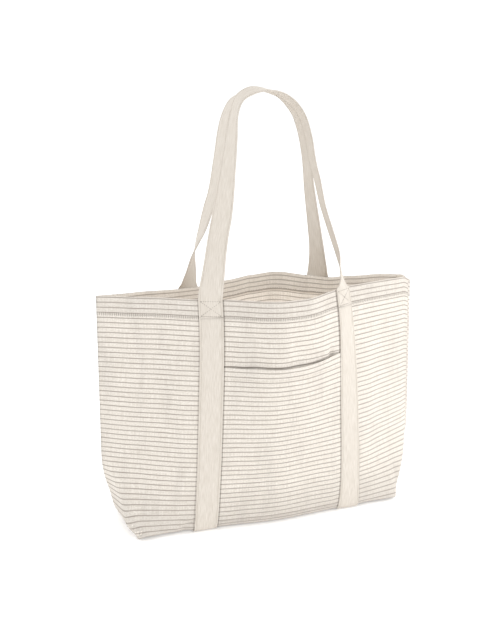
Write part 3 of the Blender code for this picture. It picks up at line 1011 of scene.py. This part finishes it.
# Each handle from its left foot over the top to its right foot: height above the rim, place across the
# bag, how far it has turned from lying flat on the bag (0) to standing on edge (1), and its lean.
HANDLES = {
    FRONT: (
        (0, -0.106, 0.17, 0), (0.045, -0.1, 0.46, 0), (0.09, -0.092, 0.56, 0), (0.12, -0.085, 0.57, 0),
        (0.15, -0.079, 0.63, 0), (0.191, -0.072, 0.745, 0), (0.239, -0.064, 0.88, 4), (0.275, -0.058, 1, 9),
        (0.3, -0.048, 1, 15), (0.3125, -0.029, 1, 17), (0.315, -0.011, 1, 12), (0.3125, 0.006, 1, 3),
        (0.304, 0.025, 1, -4), (0.29, 0.043, 0.97, -3), (0.271, 0.055, 0.96, 0), (0.242, 0.063, 0.95, 0),
        (0.208, 0.068, 0.945, 0), (0.177, 0.076, 0.92, 0), (0.137, 0.084, 0.9, 0), (0.098, 0.096, 0.9, 0),
        (0.062, 0.107, 0.87, 0), (0.036, 0.111, 0.735, 0), (0.018, 0.1125, 0.68, 0), (0, 0.1135, 0.48, 0),
    ),
    BACK: (
        (0, -0.113, 0.32, 0), (0.026, -0.1095, 0.56, 0), (0.05, -0.107, 0.74, 0), (0.072, -0.1005, 0.9, 0),
        (0.098, -0.0912, 1.04, 0), (0.13, -0.0822, 1.1, 0), (0.159, -0.0745, 1.09, 0),
        (0.21, -0.0665, 1.1, 0),
        (0.255, -0.061, 1.09, 0), (0.284, -0.054, 1.05, 0), (0.304, -0.042, 1, 0), (0.315, -0.016, 1, 0),
        (0.3155, 0.003, 1, 0), (0.3125, 0.019, 1, 0), (0.304, 0.039, 1, 0), (0.282, 0.06, 1, 0),
        (0.262, 0.07, 1, 0), (0.238, 0.078, 1, 0), (0.202, 0.086, 1, 0), (0.156, 0.094, 0.94, 0),
        (0.097, 0.106, 0.863, 0), (0.057, 0.114, 0.79, 0), (0.026, 0.118, 0.66, 0), (0, 0.1195, 0.45, 0),
    ),
}


def spline(knots, samples):
    """Points on a smooth curve through the knots, evenly spaced in each span."""
    result = []
    padded = [knots[0] * 2 - knots[1]] + knots + [knots[-1] * 2 - knots[-2]]
    for k in range(1, len(padded) - 2):
        before, start, end, after = padded[k - 1 : k + 3]
        bend = 2 * before - 5 * start + 4 * end - after
        twist = 3 * start - before - 3 * end + after
        for i in range(samples):
            t = i / samples
            result.append((2 * start + (end - before) * t + bend * t**2 + twist * t**3) / 2)
    return result + [knots[-1]]


def handle_stations(side):
    """(point, across, out) along a handle's free length, from its left foot over the top to the right."""
    sizes = bpy.context.scene.tote_sizes
    foot_y = RIM_STRAP_DEPTH + sizes.webbing / 2 + STRAP_GAP
    top_y = 0.0193  # from the side seams' plane to the top of each handle
    places = spline([Vector((x, rise)) for rise, x, _, _ in HANDLES[side]], 8)
    turns = spline([Vector((turn, math.radians(lean))) for _, _, turn, lean in HANDLES[side]], 8)
    halfway = max(range(len(places)), key=lambda i: places[i].y)
    path = []
    for x, rise in places:
        y = foot_y + (top_y - foot_y) * min(rise / HANDLE_RISE, 1.0)
        path.append(Vector((x, SEAM_Y + side * y, RIM_Z + rise)))
    result = []
    for i, point in enumerate(path):
        sign = -1 if i <= halfway else 1
        turn, lean = math.pi / 2 * turns[i].x, turns[i].y
        across = Vector((-sign * math.cos(turn), side * math.sin(turn) * math.cos(lean), -math.sin(lean)))
        ahead = (path[min(i + 1, len(path) - 1)] - path[max(i - 1, 0)]).normalized()
        across = square_to(across, ahead)
        result.append((point, across, across.cross(ahead).normalized()))
    return result


def leg_on_bag(side, sign):
    """(point, across, out) of the strap over its stitch box, from low to the rim."""
    steps = 8
    result = []
    for i in range(steps + 1):
        point, across, out = strap_station(side, sign, STRAP_TOP_Z + (RIM_Z - STRAP_TOP_Z) * i / steps)
        result.append((point, -across * sign, out))
    return result


def whole_handle(side):
    """Stations of the handle with its two sewn-on ends."""
    free = handle_stations(side)
    left = leg_on_bag(side, -1)
    right = leg_on_bag(side, 1)

    def eased(station, foot, anchor):
        """Brings the first 50 mm of a free leg onto the end of the strap that it grows from."""
        point, across, out = station
        share = 1 - soft_step(point.z, RIM_Z, 0.05)
        return point + (anchor[0] - foot) * share, across, out

    halfway = max(range(len(free)), key=lambda i: free[i][0].z)
    joined = list(left)
    joined += [eased(station, free[0][0], left[-1]) for station in free[2:halfway]]
    joined += [eased(station, free[-1][0], right[-1]) for station in free[halfway:-2]]
    joined += right[::-1]
    fixed = []
    for i, (point, across, out) in enumerate(joined):
        if fixed and across.dot(fixed[-1][1]) < 0:
            across = -across
        ahead = joined[min(i + 1, len(joined) - 1)][0] - joined[max(i - 1, 0)][0]
        across = (across - ahead * across.dot(ahead) / ahead.length_squared).normalized()
        fixed.append((point, across, ahead.normalized().cross(across)))
    return fixed


class TOTE_OT_handles(bpy.types.Operator):
    """Makes the two carrying handles, which grow out of the straps at the rim"""

    bl_idname = "tote.handles"
    bl_label = "Handles"

    def execute(self, context):
        webbing = context.scene.tote_sizes.webbing
        thread = shared_material(cotton_thread)
        for side, name in ((FRONT, "front_handle"), (BACK, "back_handle")):
            stations = whole_handle(side)
            band = strap_band(name, stations)
            rows = edge_rows(stations, STRAP_WIDTH, webbing, STITCH_INSET, (1, -1))
            sewn = stitch_object(name + "_edge_stitches", rows, thread, 0.7, body=None)
            for piece in (band, sewn):
                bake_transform(piece)
        return {"FINISHED"}


# ---------------------------------------------------------------- pocket and sewing


def pocket_point(s, z, lift):
    """(point, out) on the pocket's outer face, which gapes at its mouth and was sewn on a little aslant."""
    sizes = bpy.context.scene.tote_sizes
    up = (z - FLOOR_Z) / (sizes.pocket_top - FLOOR_Z)
    z += POCKET_SLANT * soft_step(s, SLANT_FROM, SLANT_TO - SLANT_FROM) * up**4
    part = min(abs(s) / STRAP_INNER, 1.0)
    gape = sizes.pocket_gape * math.cos(math.pi / 2 * part**2) * up**8
    gape += 0.0010 * smooth((1 - part) / 0.15)
    point, out = cloth_point(FRONT, s, z)
    calm = softened(FRONT, s, z)
    calm.z += along_table(RIM_LIFT[FRONT], s) * ((z - FLOOR_Z) / (RIM_Z - FLOOR_Z)) ** 2
    calm.y += SEAM_Y
    ease = soft_step(z, 0.200, 0.060)
    over = max((point - calm).dot(out), 0.0)
    return calm.lerp(point, 1 - ease) + out * (over * ease + gape + lift), out


class TOTE_OT_pocket(bpy.types.Operator):
    """Makes the patch pocket between the front straps, with its hemmed mouth"""

    bl_idname = "tote.pocket"
    bl_label = "Front pocket"

    def execute(self, context):
        sizes = context.scene.tote_sizes
        cloth = sizes.cloth
        edge = STRAP_INNER + 0.004  # the pocket's sides are caught under the straps
        columns, steps, fold_steps, hem_steps = 60, 52, 5, 6
        inner_steps = steps - 6
        places = [-edge + 2 * edge * i / columns for i in range(columns + 1)]
        fold_height = 0.0008
        low, high = FLOOR_Z + sizes.bottom_round, sizes.pocket_top
        top, hem_low = high - fold_height, high - fold_height - sizes.pocket_hem
        rows = []

        def level(z, lift):
            return [pocket_point(s, z, lift)[0] for s in places]

        for i in range(steps + 1):
            z = low + (top - low) * i / steps
            rows.append((level(z, cloth), z))
        for i in range(1, fold_steps):
            angle = math.pi * i / fold_steps
            lift = cloth - cloth * 0.88 * (1 - math.cos(angle))
            row = [p + ALONG_Z * fold_height * math.sin(angle) for p in level(top, lift)]
            rows.append((row, high + 0.0004 * i))
        for i in range(hem_steps + 1):
            z = top - sizes.pocket_hem * i / hem_steps
            rows.append((level(z, -0.76 * cloth), 2 * high - z))
        below = hem_low - 0.0006
        rows.append((level(below, 0.0), hem_low))
        for i in range(1, inner_steps + 1):
            z = below + (low - below) * i / inner_steps
            rows.append((level(z, 0.0), z))
        count = len(places)
        points = [p for row, _ in rows for p in row]
        faces, uvs = shell_faces(rows, places, ring_closed=False, section_closed=True)
        for column, order in ((0, 1), (count - 1, -1)):
            side = [k * count + column for k in range(len(rows))][::order]
            faces.append(tuple(side))
            uvs += [(places[column], points[i].z) for i in side]
        pocket = mesh_object("canvas_pocket", points, faces, uvs, shared_material(striped_canvas_pocket))
        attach(pocket, "bag")
        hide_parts("front_pocket", "pocket_hem")
        row_z, stations = high - sizes.pocket_hem + 0.002, 120
        row = []
        for i in range(stations + 1):
            s = -STRAP_INNER + 2 * STRAP_INNER * i / stations
            row.append(pocket_point(s, row_z, cloth))
        sewn = stitch_object("pocket_mouth_stitches", [row], shared_material(cotton_thread))
        return {"FINISHED"}


def even_run(places, steps):
    """Places at even steps from the first of two places to the last."""
    first, last = Vector(places[0]), Vector(places[1])
    return [first.lerp(last, i / steps) for i in range(steps + 1)]


class TOTE_OT_sewing(bpy.types.Operator):
    """Sews the hem row round the rim and the crossed boxes where the handles are fixed"""

    bl_idname = "tote.sewing"
    bl_label = "Hem and box stitches"

    def execute(self, context):
        thread = shared_material(painted_shade_cotton_thread)
        panels = ((FRONT, "front"), (BACK, "back"))
        for side, name in panels:
            stitch_object(name + "_hem_stitches", self.hem_rows(side), thread)
        for side, name in panels:
            for sign, hand in ((-1, "left"), (1, "right")):
                box = f"{name}_{hand}_stitch_box"
                sewn = stitch_object("sewn_" + box, self.box_rows(side, sign), thread)
                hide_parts(box)
        return {"FINISHED"}

    def hem_rows(self, side):
        """The hem's row of stitches, outside between the straps and inside all along."""
        sizes = bpy.context.scene.tote_sizes
        hem_z = RIM_Z - sizes.hem + 0.002
        seam_end = HALF_CLOTH - 0.003
        rows = []
        for span in ((-seam_end, -STRAP_OUTER), (-STRAP_INNER, STRAP_INNER), (STRAP_OUTER, seam_end)):
            run = even_run([(s, hem_z) for s in span], 80)
            rows.append([cloth_point(side, s, z) for s, z in run])
        inner_end = HALF_CLOTH - 0.012
        inside = []
        for s, z in even_run([(-inner_end, hem_z), (inner_end, hem_z)], 160):
            point, out = cloth_point(side, s, z)
            inside.append((point - out * sizes.cloth * HEM_STANDS_OFF, -out))
        return rows + [inside]

    def box_rows(self, side, sign):
        """The top, the bottom and both diagonals of the crossed box, on the outer face of the strap."""
        lift = bpy.context.scene.tote_sizes.webbing + STRAP_GAP
        middle = (STRAP_INNER + STRAP_OUTER) / 2
        half = STRAP_WIDTH / 2 - STITCH_INSET
        top, low = RIM_Z - BOX_TOP, BOX_LOW_Z
        ends = (((-half, top), (half, top)), ((-half, low), (half, low)))
        ends += (((-half, top), (half, low)), ((half, top), (-half, low)))
        rows = []
        for places in ends:
            row = []
            for across, z in even_run(places, 12):
                point, out = cloth_point(side, sign * (middle + across), z)
                row.append((point + out * lift, out))
            rows.append(row)
        return rows


def allowance_profile(width, thickness, steps=4):
    """The outline of a flat seam allowance with a soft edge on both sides."""
    outline = []
    half, round_edge = width / 2, thickness / 2
    for centre, start in ((half - round_edge, -math.pi / 2), (round_edge - half, math.pi / 2)):
        for i in range(steps + 1):
            angle = start + math.pi * i / steps
            outline.append((centre + math.cos(angle) * round_edge, math.sin(angle) * round_edge))
    return outline


class TOTE_OT_seams(bpy.types.Operator):
    """Makes the overlocked seam allowances inside the bag"""

    bl_idname = "tote.seams"
    bl_label = "Seams"

    def execute(self, context):
        sizes = context.scene.tote_sizes
        thickness = 1.2 * sizes.cloth
        for hand, sign in (("left", -1), ("right", 1)):
            self.allowance(f"{hand}_side_seam", self.up_the_side(sign, sizes, thickness), thickness)
            low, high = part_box(f"{hand}_corner_seam")
            middle = (low + high) / 2
            wall_x = cloth_point(FRONT, sign * (HALF_CLOTH - 0.001), middle.z)[0].x
            middle.x = wall_x - sign * (sizes.cloth + thickness + 0.0016)
            ends = [Vector((middle.x, low.y, middle.z)), Vector((middle.x, high.y, middle.z))]
            run = [(point, ALONG_Z, -sign * ALONG_X) for point in even_run(ends, 40)]
            self.allowance(f"{hand}_corner_seam", run, thickness)
        low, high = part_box("bottom_seam")
        middle = (low + high) / 2
        along = []
        for i in range(121):
            x = low.x + (high.x - low.x) * i / 120
            ripple = 0.0004 * math.sin(x * 95) * math.sin(math.pi * i / 120)
            along.append((Vector((x, middle.y + ripple, middle.z)), ALONG_Y, ALONG_Z))
        self.allowance("bottom_seam", along, thickness)
        return {"FINISHED"}

    def up_the_side(self, sign, sizes, thickness):
        """Stations up the inside of the back cloth, beside the side seam, and over the hem."""
        near = HALF_CLOTH - 0.014 - sizes.seam_width
        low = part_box("left_side_seam")[0].z
        stations = []
        for i in range(91):
            z = low + (RIM_Z - 0.0015 - low) * i / 90
            first, out_a = cloth_point(BACK, sign * near, z)
            second, out_b = cloth_point(BACK, sign * (near + sizes.seam_width), z)
            over_hem = smooth((z - (RIM_Z - sizes.hem - 0.008)) / 0.007)
            inset = sizes.cloth * (1 + 1.5 * over_hem) + thickness / 2 + 0.0004
            across = (second - first).normalized()
            out = square_to(out_a + out_b, across)
            stations.append(((first + second) / 2 - out * inset, across, -out))
        return stations

    def allowance(self, name, stations, thickness):
        """One overlocked strip along its stations, with thread wrapped over both its edges."""
        width = bpy.context.scene.tote_sizes.seam_width
        profile = allowance_profile(width - 0.0008, thickness)
        strip = band_object("overlocked_" + name, stations, profile, shared_material(overlocked_edge))
        rows = edge_rows(stations, width, thickness, 0.0012)
        sewn = stitch_object(name + "_overlock", rows, shared_material(cotton_thread), 0.8)
        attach(strip, "bag")
        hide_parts(name)


# ---------------------------------------------------------------- stage


def add_aimed(name, data, location, target):
    """Adds a camera or a light that looks at the target."""
    obj = bpy.data.objects.new(name, data)
    bpy.context.scene.collection.objects.link(obj)
    obj.location = location
    obj.rotation_euler = (target - location).to_track_quat("-Z", "Y").to_euler()
    return obj


class TOTE_OT_stage(bpy.types.Operator):
    """Sets the studio floor, the soft lights and the camera"""

    bl_idname = "tote.stage"
    bl_label = "Stage"

    def execute(self, context):
        context.scene.view_settings.view_transform = "Standard"
        self.camera(context.scene)
        self.floor(context.scene)
        self.lights(context.scene)
        return {"FINISHED"}

    def camera(self, scene):
        target = Vector((-0.0221, 0.0072 + SEAM_Y, 0.3385))
        azimuth, elevation, distance = math.radians(-18), math.radians(13.1), 1.297
        level = Vector((math.sin(azimuth), -math.cos(azimuth), 0)) * math.cos(elevation)
        heading = level + ALONG_Z * math.sin(elevation)
        data = bpy.data.cameras.new("camera")
        data.sensor_fit = "HORIZONTAL"
        data.sensor_width = 36.0
        data.lens = 56.16
        scene.camera = add_aimed("camera", data, target + heading * distance, target)

    def floor(self, scene):
        material, tree = new_material("painted studio floor, matt")
        grain = add_node(tree, "ShaderNodeTexNoise", {"Scale": 3.0, "Detail": 2.0}).outputs["Fac"]
        floor_colour = tuple(scene.tote_colours.floor)
        colour = blend_colours(tree, grain, floor_colour, linear("FBFBFB"))
        # A faint glow, as of an evenly lit white sweep, keeps the shadow under the bag pale.
        finish = {
            "Roughness": 0.9,
            "Specular IOR Level": 0.1,
            "Emission Color": floor_colour,
            "Emission Strength": 0.20,
        }
        shader = add_node(tree, "ShaderNodeBsdfPrincipled", finish, {"Base Color": colour})
        add_node(tree, "ShaderNodeOutputMaterial", links={"Surface": shader.outputs[0]})
        reach = 12.0
        spots = ((0, 0), (1, 0), (1, 1), (0, 1))
        corners = [(reach * (2 * u - 1), reach * (2 * v - 1), 0) for u, v in spots]
        mesh_object("studio_floor", corners, [(0, 1, 2, 3)], spots, material)

    def lights(self, scene):
        world = bpy.data.worlds.new("studio")
        world.use_nodes = True
        background = world.node_tree.nodes["Background"]
        background.inputs["Color"].default_value = linear("FFFFFF")
        background.inputs["Strength"].default_value = 1.14
        scene.world = world
        # A soft box stands close by on the right, so the light falls off across the bag.
        box = bpy.data.lights.new("soft_box", "AREA")
        box.shape = "RECTANGLE"
        box.size, box.size_y = 0.7, 1.0
        box.energy = 4.4
        add_aimed("soft_box", box, Vector((1.10, -0.50, 0.66)), Vector((0, 0, 0.36)))
        fill = bpy.data.lights.new("fill_from_above", "SUN")
        fill.energy = 0.20
        fill.angle = math.radians(80)
        add_aimed("fill_from_above", fill, Vector((-0.5, -0.7, 2.0)), Vector())


class TOTE_PT_panel(bpy.types.Panel):
    """Lists the steps that build the bag"""

    bl_idname = "TOTE_PT_panel"
    bl_label = "Canvas tote bag"
    bl_space_type = "VIEW_3D"
    bl_region_type = "UI"
    bl_category = "Tote"

    def draw(self, context):
        for operator in OPERATORS:
            self.layout.operator(operator.bl_idname)
        for group in (context.scene.tote_sizes, context.scene.tote_colours):
            column = self.layout.column()
            for name in group.__annotations__:
                column.prop(group, name)


OPERATORS = (
    TOTE_OT_stage,
    TOTE_OT_body,
    TOTE_OT_straps,
    TOTE_OT_handles,
    TOTE_OT_pocket,
    TOTE_OT_sewing,
    TOTE_OT_seams,
)
CLASSES = (ToteSizes, ToteColours) + OPERATORS + (TOTE_PT_panel,)


def register():
    for cls in CLASSES:
        bpy.utils.register_class(cls)
    bpy.types.Scene.tote_sizes = bpy.props.PointerProperty(type=ToteSizes)
    bpy.types.Scene.tote_colours = bpy.props.PointerProperty(type=ToteColours)


def unregister():
    del bpy.types.Scene.tote_colours
    del bpy.types.Scene.tote_sizes
    for cls in reversed(CLASSES):
        bpy.utils.unregister_class(cls)


def main():
    register()
    for operator in OPERATORS:
        name = operator.bl_idname.split(".")[1]
        getattr(bpy.ops.tote, name)()


if __name__ == "__main__":
    main()
